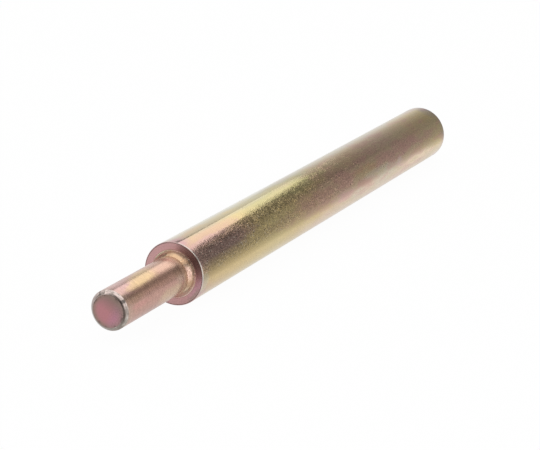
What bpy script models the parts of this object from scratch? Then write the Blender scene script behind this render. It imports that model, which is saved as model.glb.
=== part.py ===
"""Setting punch for drop-in anchors, turned in one piece from a round steel bar.

The tool lies on its shank along X: the pin's nose points to -X, the struck end to +X.
Z is up, the bar rests on z = 0, and the origin is under the middle of its length.
"""

from math import cos, pi, radians

import bmesh
import bpy
from mathutils import Matrix, Vector

MM = 0.001

# Shank: the plain bar that the hand holds
SHANK_DIAMETER = 13.0 * MM
SHANK_LENGTH = 132.0 * MM
STRUCK_CHAMFER = 1.0 * MM
SHOULDER_EDGE_BREAK = 0.2 * MM

# Pin: the turned-down end that drives the anchor's expander plug
PIN_DIAMETER = 8.0 * MM
PIN_LENGTH = 25.5 * MM
NOSE_CHAMFER = 0.65 * MM
ROOT_TAPER_LENGTH = 1.6 * MM
ROOT_TAPER_RISE = 0.75 * MM

# Facets of the turned surfaces
FACETS_ROUND_AXIS = 36
SMOOTH_UNDER_DEGREES = 20.0

# Yellow passivated zinc over steel
PLATING_COLOUR = (0.52, 0.40, 0.25, 1.0)
PLATING_ROUGHNESS = 0.32


def clear_scene():
    """Remove whatever the open file holds."""
    for leftover in list(bpy.data.objects):
        bpy.data.objects.remove(leftover, do_unlink=True)


def plated_steel():
    """Iridescent yellow plating, seen from afar as a warm metal."""
    material = bpy.data.materials.new("yellow_zinc_plating")
    material.use_nodes = True
    shader = material.node_tree.nodes["Principled BSDF"]
    shader.inputs["Base Color"].default_value = PLATING_COLOUR
    shader.inputs["Metallic"].default_value = 1.0
    shader.inputs["Roughness"].default_value = PLATING_ROUGHNESS
    material.diffuse_color = PLATING_COLOUR
    return material


def turned_profile():
    """Half outline of the bar as (x, height over the axis), with the shoulder's face at x = 0."""
    pin_radius = PIN_DIAMETER / 2
    shank_radius = SHANK_DIAMETER / 2

    nose = [(-PIN_LENGTH, pin_radius - NOSE_CHAMFER), (-PIN_LENGTH + NOSE_CHAMFER, pin_radius)]
    root = [(-ROOT_TAPER_LENGTH, pin_radius), (0.0, pin_radius + ROOT_TAPER_RISE)]
    shoulder_edge = [(0.0, shank_radius - SHOULDER_EDGE_BREAK), (SHOULDER_EDGE_BREAK, shank_radius)]
    struck_end = [
        (SHANK_LENGTH - STRUCK_CHAMFER, shank_radius),
        (SHANK_LENGTH, shank_radius - STRUCK_CHAMFER),
    ]
    return nose + root + shoulder_edge + struck_end


def turn_about_axis(profile):
    """Spin the half outline about X and close the two ends with flat faces."""
    bar = bmesh.new()
    # Half a facet of lead puts a flat, not an edge, under the bar
    lead = Matrix.Rotation(pi / FACETS_ROUND_AXIS, 4, "X")
    points = [bar.verts.new(lead @ Vector((x, 0.0, height))) for x, height in profile]
    edges = [bar.edges.new(pair) for pair in zip(points, points[1:])]
    bmesh.ops.spin(
        bar,
        geom=points + edges,
        cent=(0.0, 0.0, 0.0),
        axis=(1.0, 0.0, 0.0),
        angle=2 * pi,
        steps=FACETS_ROUND_AXIS,
        use_merge=True,
        use_normal_flip=False,
    )
    end_rims = [edge for edge in bar.edges if edge.is_boundary]
    bmesh.ops.holes_fill(bar, edges=end_rims, sides=0)
    bmesh.ops.recalc_face_normals(bar, faces=bar.faces)
    return bar


def setting_punch():
    """The whole tool: nose, pin, tapered root, shoulder, shank and struck end in one bar."""
    mesh = bpy.data.meshes.new("setting_punch")
    bar = turn_about_axis(turned_profile())
    bar.to_mesh(mesh)
    bar.free()
    mesh.shade_smooth()
    mesh.set_sharp_from_angle(angle=radians(SMOOTH_UNDER_DEGREES))
    mesh.materials.append(plated_steel())

    punch = bpy.data.objects.new("setting_punch", mesh)
    middle_of_length = (SHANK_LENGTH - PIN_LENGTH) / 2
    height_of_axis = SHANK_DIAMETER / 2 * cos(pi / FACETS_ROUND_AXIS)
    punch.location = (-middle_of_length, 0.0, height_of_axis)
    bpy.context.scene.collection.objects.link(punch)
    return punch


clear_scene()
setting_punch()
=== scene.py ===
from math import cos, pi, radians, sin

import bpy
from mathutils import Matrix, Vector


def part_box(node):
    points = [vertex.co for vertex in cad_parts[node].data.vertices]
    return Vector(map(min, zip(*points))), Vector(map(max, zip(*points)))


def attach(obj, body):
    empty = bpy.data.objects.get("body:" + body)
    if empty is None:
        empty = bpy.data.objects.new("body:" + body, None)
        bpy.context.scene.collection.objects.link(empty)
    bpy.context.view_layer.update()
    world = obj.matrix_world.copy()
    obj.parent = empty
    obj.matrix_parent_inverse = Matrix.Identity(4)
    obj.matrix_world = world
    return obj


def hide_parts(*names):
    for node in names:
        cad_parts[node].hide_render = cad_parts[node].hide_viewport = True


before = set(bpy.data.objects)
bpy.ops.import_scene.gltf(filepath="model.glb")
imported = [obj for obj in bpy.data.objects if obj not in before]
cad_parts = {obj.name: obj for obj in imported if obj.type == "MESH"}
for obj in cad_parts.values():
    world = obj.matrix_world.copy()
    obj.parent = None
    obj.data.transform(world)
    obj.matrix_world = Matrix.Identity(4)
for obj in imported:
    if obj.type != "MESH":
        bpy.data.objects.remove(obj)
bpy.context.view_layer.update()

# Setting punch: one solid bar of steel, turned on a lathe from nose to struck end in one piece.
# It is zinc plated and yellow passivated all over, so a thin film of shifting colour covers it.
# Nothing is fixed to it: a half outline is swept once round the bar's axis.
mm = 0.001
low_corner, high_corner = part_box("setting_punch")
pin_length = 25.5 * mm
shank_radius = 6.5 * mm
shoulder_x = low_corner.x + pin_length

punch_sizes = {
    "Pin Radius": 4.0 * mm,
    "Pin Length": pin_length,
    "Nose Chamfer": 0.65 * mm,
    "Root Length": 1.6 * mm,
    "Root Height": 0.75 * mm,
    "Shank Radius": shank_radius,
    "Shank Length": high_corner.x - shoulder_x,
    "Struck Chamfer": 1.0 * mm,
    "Nose Rounding": 0.30 * mm,
    "Chamfer Rounding": 0.10 * mm,
    "Root Start Rounding": 0.30 * mm,
    "Root End Rounding": 0.25 * mm,
    "Shoulder Rounding": 0.12 * mm,
    "Struck Rounding": 0.25 * mm,
    "Shoulder Place": shoulder_x,
    "Axis Height": shank_radius,
    "Facing Depth": 0.004 * mm,
    "Facing Pitch": 0.32 * mm,
    "Step On Faces": 0.08 * mm,
    "Step On Sides": 2.5 * mm,
}
points_on_rounding = 8
sides_round_bar = 192
square_step = 0.001 * mm
weld_distance = 0.0005 * mm


def feed(tree, socket, source):
    """Link a socket to another one, or give it a plain value."""
    if isinstance(source, bpy.types.NodeSocket):
        tree.links.new(source, socket)
    else:
        socket.default_value = source


def add_node(tree, kind, *sources, **options):
    """Add one node, set its options, and feed its open inputs in their order."""
    node = tree.nodes.new(kind)
    for name, value in options.items():
        setattr(node, name, value)
    open_inputs = [socket for socket in node.inputs if socket.enabled]
    for socket, source in zip(open_inputs, sources):
        feed(tree, socket, source)
    return node


def add_named(tree, kind, inputs, **options):
    """Add one node, set its options, and feed the inputs that are given by name."""
    node = add_node(tree, kind, **options)
    for name, source in inputs.items():
        feed(tree, node.inputs[name], source)
    return node


def open_output(node):
    """The first output that the node's options leave open."""
    return next(socket for socket in node.outputs if socket.enabled)


def maths(tree, operation, *sources):
    """Result of one arithmetic node."""
    return add_node(tree, "ShaderNodeMath", *sources, operation=operation).outputs[0]


def vector_maths(tree, operation, *sources):
    """Result of one vector node, which is a number for a length, a distance or a dot product."""
    return open_output(add_node(tree, "ShaderNodeVectorMath", *sources, operation=operation))


def total(tree, first, *others):
    """Sum of sockets and numbers."""
    so_far = first
    for other in others:
        so_far = maths(tree, "ADD", so_far, other)
    return so_far


def product(tree, first, *others):
    """Product of sockets and numbers."""
    so_far = first
    for other in others:
        so_far = maths(tree, "MULTIPLY", so_far, other)
    return so_far


def difference(tree, first, second):
    """First less second."""
    return maths(tree, "SUBTRACT", first, second)


def pick_by_index(tree, kind, index, choices):
    """Output of a switch that gives each corner of the outline its own value."""
    switch = add_node(tree, "GeometryNodeIndexSwitch", data_type=kind)
    while len(switch.index_switch_items) < len(choices):
        switch.index_switch_items.new()
    feed(tree, switch.inputs[0], index)
    for socket, choice in zip(switch.inputs[1:], choices):
        feed(tree, socket, choice)
    return switch.outputs[0]


lathe = bpy.data.node_groups.new("turned_punch", "GeometryNodeTree")
lathe.interface.new_socket("Geometry", in_out="OUTPUT", socket_type="NodeSocketGeometry")
size_sockets = {}
for size_name in punch_sizes:
    size_sockets[size_name] = lathe.interface.new_socket(
        size_name, in_out="INPUT", socket_type="NodeSocketFloat"
    )
finish_socket = lathe.interface.new_socket("Finish", in_out="INPUT", socket_type="NodeSocketMaterial")
size = lathe.nodes.new("NodeGroupInput").outputs


def corner(along, height):
    """Corner of the half outline: how far behind the shoulder, and how high over the axis."""
    return add_node(lathe, "ShaderNodeCombineXYZ", along, height, 0.0).outputs[0]


# Half outline from the nose's centre over pin, root, shoulder and shank to the struck end's centre.
# Each corner has its rounding.
nose_x = difference(lathe, 0.0, size["Pin Length"])
nose_flat = difference(lathe, size["Pin Radius"], size["Nose Chamfer"])
pin_start_x = total(lathe, nose_x, size["Nose Chamfer"])
root_start_x = difference(lathe, 0.0, size["Root Length"])
root_top = total(lathe, size["Pin Radius"], size["Root Height"])
shank_end_x = difference(lathe, size["Shank Length"], size["Struck Chamfer"])
struck_flat = difference(lathe, size["Shank Radius"], size["Struck Chamfer"])
outline_corners = [
    (corner(nose_x, 0.0), 0.0),
    (corner(nose_x, nose_flat), size["Nose Rounding"]),
    (corner(pin_start_x, size["Pin Radius"]), size["Chamfer Rounding"]),
    (corner(root_start_x, size["Pin Radius"]), size["Root Start Rounding"]),
    (corner(0.0, root_top), size["Root End Rounding"]),
    (corner(0.0, size["Shank Radius"]), size["Shoulder Rounding"]),
    (corner(shank_end_x, size["Shank Radius"]), size["Struck Rounding"]),
    (corner(size["Shank Length"], struck_flat), size["Struck Rounding"]),
    (corner(size["Shank Length"], 0.0), 0.0),
]
corner_places = [corner_place for corner_place, rounding in outline_corners]
corner_roundings = [rounding for corner_place, rounding in outline_corners]
straight_line = add_node(lathe, "GeometryNodeCurvePrimitiveLine").outputs["Curve"]
beads = add_named(
    lathe, "GeometryNodeResampleCurve", {"Curve": straight_line, "Count": len(outline_corners)}
).outputs[0]
point_index = lathe.nodes.new("GeometryNodeInputIndex").outputs[0]
sharp_outline = add_named(
    lathe,
    "GeometryNodeSetPosition",
    {"Geometry": beads, "Position": pick_by_index(lathe, "VECTOR", point_index, corner_places)},
).outputs[0]

# Station: the number of the corner, which then runs on evenly along each side to the next corner
nose_rim = 1
chamfer_top = 2
root_start = 3
root_end = 4
shoulder_rim = 5
struck_rim = 7
struck_centre = 8
half_a_side = 0.5
clear_of_roundings = 0.46


def store_station(geometry, number):
    """Keep a station number on every point, for the finish to read."""
    return add_named(
        lathe,
        "GeometryNodeStoreNamedAttribute",
        {"Geometry": geometry, "Name": "station", "Value": number},
        data_type="FLOAT",
        domain="POINT",
    ).outputs[0]


rounded_outline = add_named(
    lathe,
    "GeometryNodeFilletCurve",
    {
        "Curve": store_station(sharp_outline, point_index),
        "Count": points_on_rounding,
        "Limit Radius": True,
        "Radius": pick_by_index(lathe, "FLOAT", point_index, corner_roundings),
    },
    mode="POLY",
).outputs[0]

# Long sides get more points, close together on the faces that were turned across the bar
point_place = lathe.nodes.new("GeometryNodeInputPosition").outputs[0]
next_place = add_named(
    lathe,
    "GeometryNodeFieldAtIndex",
    {"Index": total(lathe, point_index, 1.0), "Value": point_place},
    data_type="FLOAT_VECTOR",
    domain="POINT",
).outputs[0]
step = vector_maths(lathe, "SUBTRACT", next_place, point_place)
step_along = add_node(lathe, "ShaderNodeSeparateXYZ", step).outputs["X"]
on_face = maths(lathe, "LESS_THAN", maths(lathe, "ABSOLUTE", step_along), square_step)
spacing = add_node(
    lathe, "GeometryNodeSwitch", on_face, size["Step On Sides"], size["Step On Faces"], input_type="FLOAT"
).outputs[0]
cuts = maths(lathe, "FLOOR", maths(lathe, "DIVIDE", vector_maths(lathe, "LENGTH", step), spacing))
outline = add_node(lathe, "GeometryNodeSubdivideCurve", rounded_outline, cuts).outputs[0]

# The sweep: a sheet with one column for each point of the outline, wrapped once round the axis
sheet_size = 1.0
half_sheet = sheet_size / 2
outline_count = add_node(
    lathe, "GeometryNodeAttributeDomainSize", outline, component="CURVE"
).outputs["Point Count"]
sheet = add_node(
    lathe, "GeometryNodeMeshGrid", sheet_size, sheet_size, outline_count, sides_round_bar + 1
).outputs["Mesh"]
on_sheet = add_node(lathe, "ShaderNodeSeparateXYZ", point_place).outputs
last_column = difference(lathe, outline_count, 1.0)
column = maths(lathe, "ROUND", product(lathe, total(lathe, on_sheet["X"], half_sheet), last_column))
turn = product(lathe, total(lathe, on_sheet["Y"], half_sheet), 2 * pi)


def read_outline(kind, value):
    """Value of the outline's point that belongs to a column of the sheet."""
    return add_named(
        lathe,
        "GeometryNodeSampleIndex",
        {"Geometry": outline, "Value": value, "Index": column},
        data_type=kind,
        domain="POINT",
    ).outputs[0]


outline_station = add_node(lathe, "GeometryNodeInputNamedAttribute", "station", data_type="FLOAT").outputs[0]
station = read_outline("FLOAT", outline_station)
outline_place = read_outline("FLOAT_VECTOR", point_place)
along_and_height = add_node(lathe, "ShaderNodeSeparateXYZ", outline_place).outputs
height = along_and_height["Y"]

# Facing marks: the faint rings that the tool leaves on the nose, the shoulder and the struck end
off_edge = 0.02
ring_wave = maths(
    lathe, "SINE", product(lathe, maths(lathe, "DIVIDE", height, size["Facing Pitch"]), 2 * pi)
)
nose_face = maths(lathe, "LESS_THAN", station, nose_rim - off_edge)
struck_face = maths(lathe, "GREATER_THAN", station, struck_rim + off_edge)
shoulder_face = maths(lathe, "COMPARE", station, root_end + half_a_side, clear_of_roundings)
faced = total(lathe, nose_face, struck_face, shoulder_face)
ring_height = product(lathe, ring_wave, size["Facing Depth"], faced)

along = total(lathe, along_and_height["X"], size["Shoulder Place"], ring_height)
across = product(lathe, height, maths(lathe, "SINE", turn))
upward = total(lathe, product(lathe, height, maths(lathe, "COSINE", turn)), size["Axis Height"])
round_bar = add_named(
    lathe,
    "GeometryNodeSetPosition",
    {
        "Geometry": store_station(sheet, station),
        "Position": add_node(lathe, "ShaderNodeCombineXYZ", along, across, upward).outputs[0],
    },
).outputs[0]
closed_bar = add_named(
    lathe, "GeometryNodeMergeByDistance", {"Geometry": round_bar, "Distance": weld_distance}
).outputs[0]
smooth_bar = add_named(lathe, "GeometryNodeSetShadeSmooth", {"Geometry": closed_bar}).outputs[0]
whole_bar = add_named(lathe, "GeometryNodeRealizeInstances", {"Geometry": smooth_bar}).outputs[0]
plated_bar = add_named(
    lathe, "GeometryNodeSetMaterial", {"Geometry": whole_bar, "Material": size["Finish"]}
).outputs[0]
add_named(lathe, "NodeGroupOutput", {"Geometry": plated_bar})

# Passivated zinc: an interference film whose tint drifts along the bar and round it
plating = bpy.data.materials.new("yellow_zinc_plating")
plating.use_nodes = True
paint = plating.node_tree

# Tints of the film on the shank; dark plum also serves as painted shade and silver as a painted sheen
straw = (0.63, 0.475, 0.215, 1.0)
lemon = (0.63, 0.505, 0.235, 1.0)
lime = (0.50, 0.44, 0.193, 1.0)
light_lime = (0.60, 0.53, 0.215, 1.0)
moss = (0.42, 0.385, 0.145, 1.0)
sand = (0.63, 0.445, 0.265, 1.0)
ash = (0.61, 0.45, 0.31, 1.0)
pale_green = (0.63, 0.565, 0.41, 1.0)
peach = (0.60, 0.425, 0.24, 1.0)
bright_peach = (0.61, 0.40, 0.27, 1.0)
rose = (0.60, 0.35, 0.275, 1.0)
plum = (0.56, 0.33, 0.26, 1.0)
dark_plum_shade = (0.32, 0.205, 0.175, 1.0)
dull_straw = (0.48, 0.41, 0.25, 1.0)
light_straw = (0.82, 0.63, 0.43, 1.0)
silver_and_sheen = (0.555, 0.54, 0.42, 1.0)
edge_pink = (0.58, 0.36, 0.32, 1.0)
pale_pink = (0.72, 0.58, 0.54, 1.0)
blush = (0.66, 0.42, 0.36, 1.0)
olive = (0.60, 0.478, 0.28, 1.0)
olive_brown = (0.50, 0.378, 0.18, 1.0)
cream = (0.76, 0.595, 0.43, 1.0)
russet = (0.62, 0.42, 0.22, 1.0)
rim_grey = (0.42, 0.34, 0.33, 1.0)

# Tints on the pin and its tapered root; tan, brown and amber also serve there as painted shade, root pink as
# a painted highlight
gold = (0.67, 0.475, 0.265, 1.0)
pink = (0.62, 0.395, 0.36, 1.0)
pin_peach = (0.69, 0.445, 0.33, 1.0)
pin_brown = (0.55, 0.315, 0.235, 1.0)
pin_tan = (0.66, 0.49, 0.33, 1.0)
pin_rose = (0.60, 0.30, 0.27, 1.0)
pin_umber = (0.46, 0.29, 0.20, 1.0)
mauve = (0.51, 0.30, 0.245, 1.0)
dim_mauve = (0.48, 0.335, 0.265, 1.0)
pale_mauve = (0.62, 0.44, 0.345, 1.0)
pale_copper = (0.64, 0.47, 0.36, 1.0)
root_gold = (0.72, 0.475, 0.29, 1.0)
root_pink_highlight = (0.86, 0.57, 0.47, 1.0)
root_tan_shade = (0.55, 0.38, 0.26, 1.0)
root_corner_shadow = (0.30, 0.19, 0.13, 1.0)
root_pale = (0.63, 0.47, 0.33, 1.0)
root_olive = (0.50, 0.38, 0.26, 1.0)
root_sage = (0.62, 0.57, 0.42, 1.0)
root_amber_shade = (0.47, 0.29, 0.18, 1.0)
root_cream = (0.92, 0.76, 0.56, 1.0)
root_pearl = (0.86, 0.86, 0.66, 1.0)
root_blush = (0.68, 0.52, 0.46, 1.0)

# Tints on the shoulder and the nose; plum, chamfer pink and the dark line also serve as painted shade
shoulder_pink = (0.55, 0.315, 0.31, 1.0)
shoulder_mauve = (0.53, 0.31, 0.305, 1.0)
shoulder_plum_shade = (0.165, 0.11, 0.115, 1.0)
shoulder_violet = (0.50, 0.285, 0.345, 1.0)
shoulder_grey = (0.38, 0.27, 0.24, 1.0)
nose_rose = (0.44, 0.20, 0.215, 1.0)
nose_violet = (0.42, 0.21, 0.28, 1.0)
nose_brown = (0.29, 0.20, 0.17, 1.0)
nose_shadow = (0.21, 0.16, 0.135, 1.0)
chamfer_pink_shade = (0.40, 0.30, 0.29, 1.0)
dark_line_and_shade = (0.10, 0.075, 0.065, 1.0)

# Metal that shows where the film is thin or rubbed off; dark steel and bright zinc also serve as painted
# shade and a painted highlight on the nose chamfer
steel_dark_and_shade = (0.24, 0.205, 0.18, 1.0)
steel_grey = (0.34, 0.30, 0.265, 1.0)
worn_zinc = (0.55, 0.52, 0.47, 1.0)
bare_zinc = (0.66, 0.61, 0.55, 1.0)
bright_zinc_highlight = (0.76, 0.62, 0.575, 1.0)
pale_zinc = (0.78, 0.68, 0.56, 1.0)

object_place = add_node(paint, "ShaderNodeTexCoord").outputs["Object"]
along_bar = add_node(paint, "ShaderNodeSeparateXYZ", object_place).outputs["X"]
off_axis = vector_maths(paint, "SUBTRACT", object_place, (0.0, 0.0, shank_radius))
across_axis = vector_maths(paint, "MULTIPLY", off_axis, (0.0, 1.0, 1.0))
outward = vector_maths(paint, "NORMALIZE", across_axis)
station_here = add_node(
    paint, "ShaderNodeAttribute", attribute_name="station", attribute_type="GEOMETRY"
).outputs["Fac"]
noise_low = 0.3
noise_high = 0.7


def noise_on_bar(grain_along, grain_round, detail, roughness):
    """Noise whose grains have their own size along the bar and round it."""
    frequency = (1 / grain_along, 1 / grain_round, 1 / grain_round)
    return add_named(
        paint,
        "ShaderNodeTexNoise",
        {
            "Vector": vector_maths(paint, "MULTIPLY", object_place, frequency),
            "Scale": 1.0,
            "Detail": detail,
            "Roughness": roughness,
        },
    ).outputs["Fac"]


def spread(value, start, end, at_start, at_end, kind="LINEAR"):
    """Value that runs from at_start to at_end while another one runs from start to end."""
    return add_node(
        paint, "ShaderNodeMapRange", value, start, end, at_start, at_end, interpolation_type=kind
    ).outputs[0]


def grows(value, start, full, most):
    """Cover that grows from nothing to its most while a value runs from start to full."""
    return spread(value, start, full, 0.0, most)


def swing(noise, most):
    """Noise turned into a swing to both sides of zero."""
    return spread(noise, noise_low, noise_high, -most, most)


def behind_shoulder(start, end, at_start, at_end):
    """Value that changes along the bar, from one distance behind the shoulder to another."""
    return spread(along_bar, shoulder_x + start, shoulder_x + end, at_start, at_end)


def towards(turn_from_top):
    """How squarely the surface faces a direction, turned in degrees from the top towards -Y."""
    direction = (0.0, -sin(radians(turn_from_top)), cos(radians(turn_from_top)))
    return vector_maths(paint, "DOT_PRODUCT", outward, direction)


def on_side(first_corner, half_width):
    """Mask of the side from a corner of the outline to the next, by its half width in stations."""
    return maths(paint, "COMPARE", station_here, first_corner + half_a_side, half_width)


def blend(amount, under, over):
    """Colour of one tint laid over another."""
    return open_output(add_node(paint, "ShaderNodeMix", amount, under, over, data_type="RGBA"))


def colour_ramp(tree, reading, stops):
    """Colour read off a ramp, whose stops are (place from 0 to 1, colour)."""
    ramp_node = add_node(tree, "ShaderNodeValToRGB", reading)
    elements = ramp_node.color_ramp.elements
    while len(elements) < len(stops):
        elements.new(1.0)
    for element, (stop_place, colour) in zip(elements, stops):
        element.position = stop_place
        element.color = colour
    return ramp_node.outputs["Color"]


# Where each part of the bar begins and ends
short_of_corners = 0.4999
past_corners = 0.501
on_nose = maths(paint, "LESS_THAN", station_here, nose_rim)
on_chamfer = on_side(nose_rim, past_corners)
on_pin = on_side(chamfer_top, short_of_corners)
on_pin_and_root = maths(paint, "MAXIMUM", on_pin, on_side(root_start, past_corners))
on_shoulder = on_side(root_end, clear_of_roundings)
on_shank = on_side(shoulder_rim, short_of_corners)
on_round_side = maths(paint, "MAXIMUM", on_shank, on_pin_and_root)
on_struck_face = maths(paint, "GREATER_THAN", station_here, struck_rim)

# Ground tint of the film: (station, tint), with a slow drift to and fro along the shank
tint_along_bar = [
    (0.0, nose_rose),
    (0.75, nose_rose),
    (1.0, nose_brown),
    (2.0, dim_mauve),
    (2.12, mauve),
    (2.80, mauve),
    (2.88, pale_mauve),
    (2.95, pale_copper),
    (3.0, root_gold),
    (3.45, root_gold),
    # The taper darkens to tan towards its corner with the shoulder: painted shade in the corner.
    (3.7, root_tan_shade),
    (3.9, root_tan_shade),
    (4.06, shoulder_pink),
    (4.15, shoulder_pink),
    (4.6, shoulder_mauve),
    (5.0, shoulder_mauve),
    (5.005, peach),
    (5.04, peach),
    (5.12, straw),
    (5.25, lemon),
    (5.40, straw),
    (5.50, sand),
    (5.60, sand),
    (5.74, ash),
    (5.85, sand),
    (5.95, straw),
    (5.985, lemon),
    (6.0, rim_grey),
    (7.0, rim_grey),
    (7.15, sand),
    (8.0, straw),
]
drift_amount = 0.14
drift = noise_on_bar(18 * mm, 8 * mm, detail=4.0, roughness=0.6)
drift_off = product(paint, difference(paint, drift, 0.5), drift_amount, on_shank)
side_part = maths(paint, "FRACT", station_here)
drifted_part = add_node(
    paint, "ShaderNodeMath", drift_off, side_part, operation="ADD", use_clamp=True
).outputs[0]
drifted_station = total(paint, maths(paint, "FLOOR", station_here), drifted_part)
film = colour_ramp(
    paint,
    maths(paint, "DIVIDE", drifted_station, struck_centre),
    [(tint_station / struck_centre, tint) for tint_station, tint in tint_along_bar],
)

# Stains of the bath, laid one over another, with ragged edges; some are painted shade, sheen or highlight,
# as noted below. Each one is (tint, middle behind the shoulder and half length in mm, turn from the top and
# half turn in degrees, cover).
stains = [
    (pink, -21.5, 6.5, 8, 40, 0.9),
    (gold, -14.0, 6.0, 18, 42, 1.0),
    (gold, -18.5, 4.5, 32, 16, 0.8),
    (pin_peach, -6.5, 5.5, 20, 45, 0.9),
    (pin_brown, -12.0, 12.0, 54, 18, 0.8),
    (pin_tan, -6.0, 7.0, 112, 30, 0.8),
    (pin_umber, -22.0, 4.5, 62, 15, 0.7),
    (pin_rose, -20.0, 4.0, 84, 9, 0.5),
    (plum, 14.0, 14.0, 46, 24, 0.8),
    # Painted shade: the dark plum stain darkens the shank's dark reflected band near the shoulder.
    (dark_plum_shade, 8.0, 17.5, 55, 33, 0.9),
    (lime, 45.0, 24.0, 12, 32, 0.9),
    (light_lime, 54.0, 12.0, -1, 7, 0.7),
    (light_lime, 54.0, 10.0, 21, 6, 0.6),
    (moss, 45.0, 20.0, 10, 7, 0.5),
    (bright_peach, 12.0, 13.0, 26, 22, 0.8),
    (straw, 10.0, 15.0, 98, 26, 0.8),
    (rose, 80.0, 46.0, 72, 36, 0.8),
    (russet, 82.0, 8.0, 68, 16, 0.8),
    (rose, 76.0, 16.0, 50, 9, 0.7),
    (rose, 108.0, 12.0, 66, 16, 0.8),
    (olive, 122.0, 9.0, 60, 22, 0.7),
    (pale_green, 87.0, 10.0, 82, 9, 0.6),
    # Painted sheen: the silver stain makes a pale band along the top edge of the whole shank.
    (silver_and_sheen, 66.0, 110.0, -38, 42, 0.9),
    (pin_umber, -3.4, 3.0, 57, 20, 0.7),
    (pin_tan, -4.2, 2.4, -28, 32, 0.6),
    (pin_tan, -4.2, 2.4, 128, 24, 0.5),
    # Painted light on the root: the tan, brown and amber stains and the dark line in its corner are painted
    # shade, the pink one a painted highlight.
    (root_tan_shade, -1.0, 1.0, 51, 12, 0.8),
    (root_tan_shade, -0.9, 1.3, 112, 14, 0.8),
    (root_corner_shadow, -0.15, 0.75, 45, 60, 0.9),
    (root_pink_highlight, -1.2, 0.8, 80, 30, 0.9),
    (root_pale, -0.8, 1.6, 132, 32, 0.9),
    (root_pale, -2.4, 1.2, 126, 34, 0.8),
    (root_amber_shade, -0.9, 1.0, 107, 15, 0.75),
    (root_olive, -0.8, 1.6, -22, 30, 0.9),
    (root_pearl, -0.85, 0.65, 147, 26, 0.9),
    (root_blush, -0.05, 0.45, 140, 36, 0.8),
    (root_sage, -0.6, 1.2, -44, 24, 0.9),
    (root_cream, -0.75, 0.8, -37, 24, 0.9),
    (root_amber_shade, -0.9, 1.0, -5, 11, 0.7),
    (root_amber_shade, -0.8, 1.0, 43, 9, 0.7),
    (dark_line_and_shade, -0.02, 0.3, 48, 24, 0.6),
    (edge_pink, 7.0, 10.0, 33, 8, 0.7),
    (dull_straw, 20.0, 24.0, 6, 9, 0.6),
    (olive_brown, 18.0, 28.0, 76, 12, 0.5),
    (silver_and_sheen, 0.8, 2.0, 102, 20, 0.5),
    (olive_brown, 34.0, 15.0, 44, 18, 0.6),
    (cream, 92.0, 56.0, 118, 24, 0.7),
    (blush, 69.0, 9.0, 93, 12, 0.8),
    (pale_green, 77.0, 6.0, 106, 12, 0.8),
    (pale_green, 94.0, 10.0, 100, 20, 0.8),
    (pale_pink, 101.5, 1.6, 90, 14, 0.5),
    (blush, 105.0, 7.0, 96, 10, 0.8),
    (light_straw, 114.0, 10.0, 102, 13, 0.9),
]
stain_end = 1.25
slow_edge = noise_on_bar(7 * mm, 3 * mm, detail=5.0, roughness=0.65)
fine_edge = swing(noise_on_bar(0.5 * mm, 0.35 * mm, detail=2.0, roughness=0.6), most=0.12)
ragged_edge = swing(total(paint, slow_edge, fine_edge), most=0.4)
for tint, middle, half_length, turn_from_top, half_turn, cover in stains:
    turned_away = difference(paint, 1.0, towards(turn_from_top))
    off_round = maths(paint, "DIVIDE", turned_away, 1 - cos(radians(half_turn)))
    from_middle = difference(paint, along_bar, shoulder_x + middle * mm)
    off_along = maths(paint, "DIVIDE", from_middle, half_length * mm)
    reach = total(paint, off_round, product(paint, off_along, off_along), ragged_edge)
    its_side = on_shank if middle > 0 else on_pin_and_root
    patch = product(paint, spread(reach, 0.0, stain_end, cover, 0.0, "SMOOTHSTEP"), its_side)
    film = blend(patch, film, tint)

# Clouds of rose and olive in the film of the shank's rear part, and of rose and lime on the struck face
rear_cloud = noise_on_bar(8 * mm, 2.2 * mm, detail=5.0, roughness=0.68)
on_rear = product(paint, behind_shoulder(35 * mm, 75 * mm, at_start=0.0, at_end=1.0), on_shank)
film = blend(product(paint, on_rear, grows(rear_cloud, start=0.50, full=0.60, most=0.55)), film, rose)
film = blend(product(paint, on_rear, grows(rear_cloud, start=0.50, full=0.40, most=0.6)), film, olive)
face_cloud = noise_on_bar(5 * mm, 3.6 * mm, detail=4.0, roughness=0.62)
face_rose = product(paint, on_struck_face, grows(face_cloud, start=0.47, full=0.62, most=0.7))
film = blend(face_rose, film, rose)
face_lime = product(paint, on_struck_face, grows(face_cloud, start=0.50, full=0.36, most=0.7))
film = blend(face_lime, film, lime)

# Nose chamfer: the film is rubbed off in streaks, with a painted highlight on top and painted shade below,
# on the left and along the inner edge
streaks = noise_on_bar(0.35 * mm, 1.1 * mm, detail=3.0, roughness=0.6)
scuffs = colour_ramp(paint, streaks, [(0.30, steel_dark_and_shade), (0.5, steel_grey), (0.74, worn_zinc)])
film = blend(on_chamfer, film, scuffs)
rubbed_top_highlight = product(
    paint,
    on_chamfer,
    grows(towards(25), start=0.1, full=0.7, most=1.0),
    spread(streaks, 0.42, 0.58, at_start=0.25, at_end=0.95),
)
film = blend(rubbed_top_highlight, film, bright_zinc_highlight)
shaded_left_side = product(paint, on_chamfer, grows(towards(-85), start=0.5, full=1.0, most=0.7))
film = blend(shaded_left_side, film, chamfer_pink_shade)
shaded_under_side = product(paint, on_chamfer, grows(towards(-135), start=0.3, full=0.9, most=0.75))
film = blend(shaded_under_side, film, steel_dark_and_shade)
inner_edge_shade = product(
    paint,
    on_chamfer,
    spread(station_here, nose_rim + 0.12, nose_rim + 0.4, at_start=0.95, at_end=0.0),
    grows(towards(65), start=0.2, full=0.8, most=1.0),
)
film = blend(inner_edge_shade, film, dark_line_and_shade)

# Shoulder: violet on one side, a dark sector of painted shade, a grey smudge, a dark line inside the rim,
# and bare zinc on it that is brighter to one side as a painted highlight
violet_side = product(paint, on_shoulder, grows(towards(102), start=0.7, full=1.0, most=0.7))
film = blend(violet_side, film, shoulder_violet)
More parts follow.
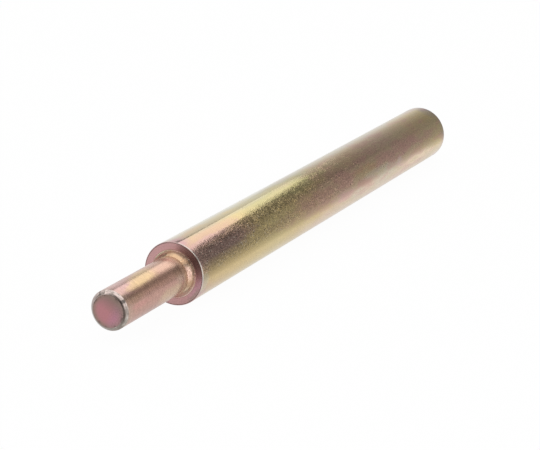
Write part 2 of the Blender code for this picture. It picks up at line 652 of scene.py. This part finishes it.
# Painted shade: a dark sector on the shoulder face.
shoulder_shade = product(paint, on_shoulder, grows(towards(52), start=0.66, full=0.94, most=0.94))
film = blend(shoulder_shade, film, shoulder_plum_shade)
smudge = product(
    paint,
    on_shoulder,
    grows(station_here, start=root_end + 0.4, full=root_end + 0.65, most=0.8),
    grows(towards(131), start=0.93, full=0.985, most=1.0),
)
film = blend(smudge, film, shoulder_grey)
rim_line_cover = 0.85
on_rim_line = maths(paint, "COMPARE", station_here, shoulder_rim - 0.045, 0.04)
film = blend(product(paint, on_rim_line, rim_line_cover), film, dark_line_and_shade)
# Bare zinc on the rim, brighter to one side: partly bare metal, partly a painted highlight.
on_bare_rim = maths(paint, "COMPARE", station_here, shoulder_rim + 0.0004, 0.0008)
bare_rim_and_highlight = product(paint, on_bare_rim, spread(towards(66), 0.3, 0.95, at_start=0.1, at_end=0.9))
film = blend(bare_rim_and_highlight, film, bare_zinc)

# Nose face: violet to one side, dark towards the top, brown with dark specks along its rim
low_right = (0.0, -0.9, -0.44)
upper_right = (0.0, -0.5, 0.866)
to_right = vector_maths(paint, "DOT_PRODUCT", off_axis, low_right)
violet_nose = product(paint, on_nose, grows(to_right, start=0.2 * mm, full=1.6 * mm, most=0.6))
film = blend(violet_nose, film, nose_violet)
to_top = vector_maths(paint, "DOT_PRODUCT", off_axis, upper_right)
nose_shade = product(paint, on_nose, grows(to_top, start=-0.3 * mm, full=2.8 * mm, most=0.9))
film = blend(nose_shade, film, nose_shadow)
brown_rim = product(paint, on_nose, grows(station_here, start=0.6, full=0.95, most=0.5))
film = blend(brown_rim, film, nose_brown)
rim_specks = product(
    paint,
    on_nose,
    grows(station_here, start=0.84, full=0.96, most=1.0),
    grows(streaks, start=0.48, full=0.62, most=0.75),
)
film = blend(rim_specks, film, dark_line_and_shade)

# Grain: fine rough specks in the smooth film, coarsest on one side of the shank's front part.
# Further patches of it are (turn from the top, start behind the shoulder, most grain).
grain_patches = [
    (33, 15 * mm, 0.6),
    (15, 54 * mm, 0.38),
]
grain_run_in = 15 * mm
coarse = spread(towards(61), 0.83, 0.96, at_start=0.12, at_end=1.0)
for turn_from_top, patch_start, most_grain in grain_patches:
    grain_patch = product(
        paint,
        grows(towards(turn_from_top), start=0.95, full=0.99, most=most_grain),
        behind_shoulder(patch_start, patch_start + grain_run_in, at_start=0.0, at_end=1.0),
    )
    coarse = maths(paint, "MAXIMUM", coarse, grain_patch)
shank_end = high_corner.x - shoulder_x
patchy = spread(
    noise_on_bar(2.2 * mm, 1.4 * mm, detail=2.0, roughness=0.5), 0.35, 0.65, at_start=0.6, at_end=1.5
)
finer_on_pin = behind_shoulder(-3 * mm, 0.0, at_start=0.14, at_end=1.0)
finer_to_rear = behind_shoulder(35 * mm, shank_end, at_start=1.0, at_end=0.35)
grain_amount = product(paint, coarse, patchy, on_round_side, finer_on_pin, finer_to_rear)
least_grain = spread(towards(108), 0.4, 0.9, at_start=0.08, at_end=0.28)
speck_noise = noise_on_bar(0.26 * mm, 0.26 * mm, detail=2.0, roughness=0.6)
speck_depth = maths(paint, "MAXIMUM", grain_amount, least_grain)
specks = product(paint, swing(speck_noise, most=0.61), speck_depth)
pale_noise = noise_on_bar(0.42 * mm, 0.42 * mm, detail=1.0, roughness=0.5)
fewer_to_rear = behind_shoulder(24 * mm, 56 * mm, at_start=1.0, at_end=0.1)
pale_specks = product(
    paint, grows(pale_noise, start=0.62, full=0.72, most=0.55), grain_amount, fewer_to_rear
)
film = blend(pale_specks, film, pale_zinc)

# Turning marks: fine rings round the pin, which smear its reflections along the bar
turning = noise_on_bar(0.42 * mm, 2.2 * mm, detail=2.0, roughness=0.5)
turning_lines = product(paint, swing(turning, most=0.09), on_pin)
speckled_film = add_named(
    paint,
    "ShaderNodeHueSaturation",
    {"Value": total(paint, specks, 1.0, turning_lines), "Color": film},
).outputs["Color"]
grain_noise = noise_on_bar(0.34 * mm, 0.34 * mm, detail=2.0, roughness=0.6)
grain_bump = add_named(
    paint,
    "ShaderNodeBump",
    {
        "Strength": grain_amount,
        "Distance": 0.020 * mm,
        "Height": spread(grain_noise, 0.42, 0.72, 0.0, 1.0, "SMOOTHSTEP"),
    },
).outputs[0]
turned_bump = add_named(
    paint,
    "ShaderNodeBump",
    {
        "Strength": spread(on_pin, 0.0, 1.0, at_start=0.15, at_end=1.0),
        "Distance": 0.015 * mm,
        "Height": turning,
        "Normal": grain_bump,
    },
).outputs[0]

# Gloss: a bright film, more satin on the pin and the faces, rough at both ends of the root and in the grain
gloss_cloud = noise_on_bar(5 * mm, 3 * mm, detail=3.0, roughness=0.6)
rough_noise = noise_on_bar(0.36 * mm, 0.36 * mm, detail=1.0, roughness=0.6)
rough_specks = spread(rough_noise, 0.53, 0.70, 0.0, 0.5, "SMOOTHSTEP")
smoother_rear = behind_shoulder(55 * mm, 80 * mm, at_start=1.0, at_end=0.3)
before_root_start = maths(paint, "LESS_THAN", station_here, root_start + 0.02)
before_root_end = maths(paint, "LESS_THAN", station_here, root_end + 0.1)
satin_pin = 0.125
satin_pin_and_root = 0.05
satin_shoulder = 0.25
satin_struck_face = 0.12
roughness = total(
    paint,
    spread(gloss_cloud, noise_low, noise_high, at_start=0.07, at_end=0.10),
    product(paint, on_pin, satin_pin),
    product(paint, on_pin_and_root, satin_pin_and_root),
    product(paint, on_shoulder, satin_shoulder),
    product(paint, on_struck_face, satin_struck_face),
    behind_shoulder(45 * mm, shank_end, at_start=0.0, at_end=0.08),
    product(paint, grows(station_here, root_start - 0.08, root_start - 0.04, most=0.3), before_root_start),
    product(paint, grows(station_here, root_start + 0.6, root_start + 0.8, most=0.3), before_root_end),
    product(paint, rough_specks, grain_amount, smoother_rear),
)
metal = paint.nodes["Principled BSDF"]
metal.inputs["Metallic"].default_value = 1.0
feed(paint, metal.inputs["Base Color"], speckled_film)
feed(paint, metal.inputs["Roughness"], roughness)
feed(paint, metal.inputs["Normal"], turned_bump)

blank = bpy.data.objects.new("punch_blank", bpy.data.meshes.new("punch_blank"))
bpy.context.scene.collection.objects.link(blank)
sweep = blank.modifiers.new("turned_punch", "NODES")
sweep.node_group = lathe
for size_name, value in punch_sizes.items():
    sweep[size_sockets[size_name].identifier] = value
sweep[finish_socket.identifier] = plating
bpy.context.view_layer.update()
depsgraph = bpy.context.evaluated_depsgraph_get()
punch_mesh = bpy.data.meshes.new_from_object(blank.evaluated_get(depsgraph), depsgraph=depsgraph)
punch_mesh.name = "setting_punch_turned"
bpy.data.objects.remove(blank)
punch = bpy.data.objects.new("setting_punch_turned", punch_mesh)
bpy.context.scene.collection.objects.link(punch)
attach(punch, "root")
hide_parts("setting_punch")

# Studio table: a large plain white board under the tool, with no texture of its own.
# It shows as white to the camera and in the metal, and still takes a little of the tool's shadow.
table_half = 4.0
table_mesh = bpy.data.meshes.new("studio_table")
table_mesh.from_pydata(
    [
        (-table_half, -table_half, 0.0),
        (table_half, -table_half, 0.0),
        (table_half, table_half, 0.0),
        (-table_half, table_half, 0.0),
    ],
    [],
    [(0, 1, 2, 3)],
)
table = bpy.data.objects.new("studio_table", table_mesh)
bpy.context.scene.collection.objects.link(table)
board_white = (0.9, 0.9, 0.9, 1.0)
full_white = (1.0, 1.0, 1.0, 1.0)
white_share = 0.97
white_in_metal = 0.7
board = bpy.data.materials.new("white_board")
board.use_nodes = True
board_nodes = board.node_tree
board_nodes.nodes.clear()
ray = add_node(board_nodes, "ShaderNodeLightPath").outputs
seen = maths(board_nodes, "MAXIMUM", ray["Is Camera Ray"], ray["Is Transmission Ray"])
seen_share = product(board_nodes, seen, white_share)
mirrored_share = product(board_nodes, ray["Is Glossy Ray"], white_in_metal)
glow_share = maths(board_nodes, "MAXIMUM", seen_share, mirrored_share)
lit_board = add_node(board_nodes, "ShaderNodeBsdfDiffuse", board_white).outputs[0]
white_glow = add_node(board_nodes, "ShaderNodeEmission", full_white, 1.0).outputs[0]
board_mix = add_node(board_nodes, "ShaderNodeMixShader", glow_share, lit_board, white_glow).outputs[0]
add_node(board_nodes, "ShaderNodeOutputMaterial", board_mix)
table_mesh.materials.append(board)

# Studio light: soft boxes behind, above, on both sides and in front, in a dim grey room.
# Each one stands in its direction from the shoulder, faces it, and is seen only in reflections.
room_grey = (0.4, 0.4, 0.4, 1.0)
room = bpy.data.worlds.new("dim_room")
bpy.context.scene.world = room
room.use_nodes = True
room_glow = room.node_tree.nodes["Background"]
room_glow.inputs["Color"].default_value = room_grey
room_glow.inputs["Strength"].default_value = 1.0
shoulder = Vector((shoulder_x, 0.0, shank_radius))


def soft_box(name, turn_right, rise, distance, width, depth, brightness):
    """Rectangular light; turn_right is its heading from the bar's rear end towards -Y, in degrees."""
    heading = Vector(
        (
            cos(radians(rise)) * cos(radians(turn_right)),
            -cos(radians(rise)) * sin(radians(turn_right)),
            sin(radians(rise)),
        )
    )
    lamp = bpy.data.lights.new(name, "AREA")
    lamp.shape = "RECTANGLE"
    lamp.size = width
    lamp.size_y = depth
    lamp.energy = brightness * pi * width * depth
    box = bpy.data.objects.new(name, lamp)
    box.location = shoulder + distance * heading
    box.rotation_euler = heading.to_track_quat("Z", "Y").to_euler()
    box.visible_camera = False
    bpy.context.scene.collection.objects.link(box)


soft_box("rear_box", turn_right=-3.4, rise=34.5, distance=2.0, width=1.23, depth=0.89, brightness=1.0)
soft_box("top_box", turn_right=0, rise=89, distance=1.2, width=2.4, depth=2.4, brightness=0.75)
soft_box("right_box", turn_right=85, rise=13, distance=0.9, width=2.1, depth=0.58, brightness=0.7)
soft_box("left_box", turn_right=-56, rise=11, distance=1.4, width=2.3, depth=0.75, brightness=0.56)
soft_box("high_left_box", turn_right=-100, rise=38, distance=1.2, width=0.8, depth=0.45, brightness=0.45)
soft_box("front_box", turn_right=-165, rise=28, distance=1.2, width=1.1, depth=0.55, brightness=1.2)

# Grey cards: one stands behind the struck end with a slanting top, one low strip beside the shank.
# They are flat sheets that glow with a graded grey and only reflections show them: painted reflections
# that give the metal its dark bands.
back_x = 160 * mm
bar_top = 2 * shank_radius
full_strength = 1.0


def reflection_card(name, corners, reading, tone_stops, fade=None):
    """Flat card that glows in a grey which runs through tone_stops, (reading, tone), evenly or with a fade;
    only reflections show it.
    """
    grey = bpy.data.materials.new(name)
    grey.use_nodes = True
    nodes = grey.node_tree
    nodes.nodes.clear()
    first = tone_stops[0][0]
    last = tone_stops[-1][0]
    way = add_node(nodes, "ShaderNodeMapRange", reading(nodes), first, last, 0.0, 1.0).outputs[0]
    way_stops = [((stop - first) / (last - first), (tone, tone, tone, 1.0)) for stop, tone in tone_stops]
    tones = colour_ramp(nodes, way, way_stops)
    strength = fade(nodes) if fade else full_strength
    glow = add_node(nodes, "ShaderNodeEmission", tones, strength).outputs[0]
    add_node(nodes, "ShaderNodeOutputMaterial", glow)

    mesh = bpy.data.meshes.new(name)
    mesh.from_pydata(corners, [], [tuple(range(len(corners)))])
    mesh.materials.append(grey)
    standing_card = bpy.data.objects.new(name, mesh)
    standing_card.visible_camera = False
    standing_card.visible_diffuse = False
    standing_card.visible_shadow = False
    bpy.context.scene.collection.objects.link(standing_card)


def place_on_card(nodes):
    """Place of a point on a card."""
    return add_node(nodes, "ShaderNodeTexCoord").outputs["Object"]


def fan_angle(nodes):
    """Angle on the back card from upright towards +Y, about the point behind the bar's top."""
    over_bar = vector_maths(nodes, "SUBTRACT", place_on_card(nodes), (0.0, 0.0, bar_top))
    parts = add_node(nodes, "ShaderNodeSeparateXYZ", over_bar).outputs
    return maths(nodes, "ARCTAN2", parts["Y"], parts["Z"])


def fan_fade(nodes):
    """Strength of the back card: it falls with the distance from the point behind the bar's top."""
    fan_start = radians(20)
    fan_end = radians(45)
    fall_start = 58 * mm
    fall_end = 125 * mm
    rim_start = 139 * mm
    rim_end = 146 * mm
    near_start = 1.12
    far_start = 0.58
    rim_gain = 0.5
    angle = fan_angle(nodes)
    out = vector_maths(nodes, "DISTANCE", place_on_card(nodes), (back_x, 0.0, bar_top))
    near = add_node(nodes, "ShaderNodeMapRange", angle, fan_start, fan_end, near_start, 1.0).outputs[0]
    far = add_node(nodes, "ShaderNodeMapRange", angle, fan_start, fan_end, far_start, 1.0).outputs[0]
    fall = add_node(nodes, "ShaderNodeMapRange", out, fall_start, fall_end, near, far).outputs[0]
    bright_rim = add_node(nodes, "ShaderNodeMapRange", out, rim_start, rim_end, 0.0, rim_gain).outputs[0]
    return total(nodes, fall, bright_rim)


def height_on_card(nodes):
    """Height of a point on a card."""
    return add_node(nodes, "ShaderNodeSeparateXYZ", place_on_card(nodes)).outputs["Z"]


back_outline = [
    (-158, 0),
    (98, 0),
    (98, 50),
    (50, 82),
    (23, 97),
    (14, 106),
    (-1, 117),
    (-12, 129),
    (-36, 143),
    (-50, 143),
    (-58, 140),
    (-70, 134.5),
    (-80, 128.5),
    (-90, 132),
    (-104, 136),
    (-158, 136),
]
reflection_card(
    "back_reflection_card",
    [(back_x, across_card * mm, up_card * mm) for across_card, up_card in back_outline],
    fan_angle,
    [
        (radians(-88), 0.40),
        (radians(-68), 0.36),
        (radians(-48), 0.28),
        (radians(-28), 0.28),
        (radians(-7), 0.29),
        (radians(15), 0.37),
        (radians(35), 0.50),
        (radians(56), 0.74),
        (radians(77), 0.88),
    ],
    fade=fan_fade,
)
strip_y = -10 * mm
strip_start = shoulder_x + 5 * mm
strip_end = high_corner.x + 60 * mm
strip_height = 16 * mm
reflection_card(
    "side_reflection_strip",
    [
        (strip_start, strip_y, 0.0),
        (strip_end, strip_y, 0.0),
        (strip_end, strip_y, strip_height),
        (strip_start, strip_y, strip_height),
    ],
    height_on_card,
    [
        (0.0, 0.93),
        (2.2 * mm, 0.80),
        (4.2 * mm, 0.65),
        (6.8 * mm, 0.48),
        (9.2 * mm, 0.41),
        (11.9 * mm, 0.37),
        (strip_height, 0.33),
    ],
)

# Camera: a long lens, a little above the table in front of the nose, looking along the bar to its far end.
# Its place is counted in shank radii from the shoulder, and its lens and turns give the photograph's frame.
camera_place = Vector((-50.167, -27.396, 18.100))
camera_tilt = 73.816
camera_turn = -64.276
camera_data = bpy.data.cameras.new("camera")
camera_data.sensor_width = 36.0
camera_data.lens = 132.3
camera = bpy.data.objects.new("camera", camera_data)
camera.location = shoulder + shank_radius * camera_place
camera.rotation_euler = (radians(camera_tilt), 0.0, radians(camera_turn))
bpy.context.scene.collection.objects.link(camera)
bpy.context.scene.camera = camera
bpy.context.scene.view_settings.view_transform = "Standard"
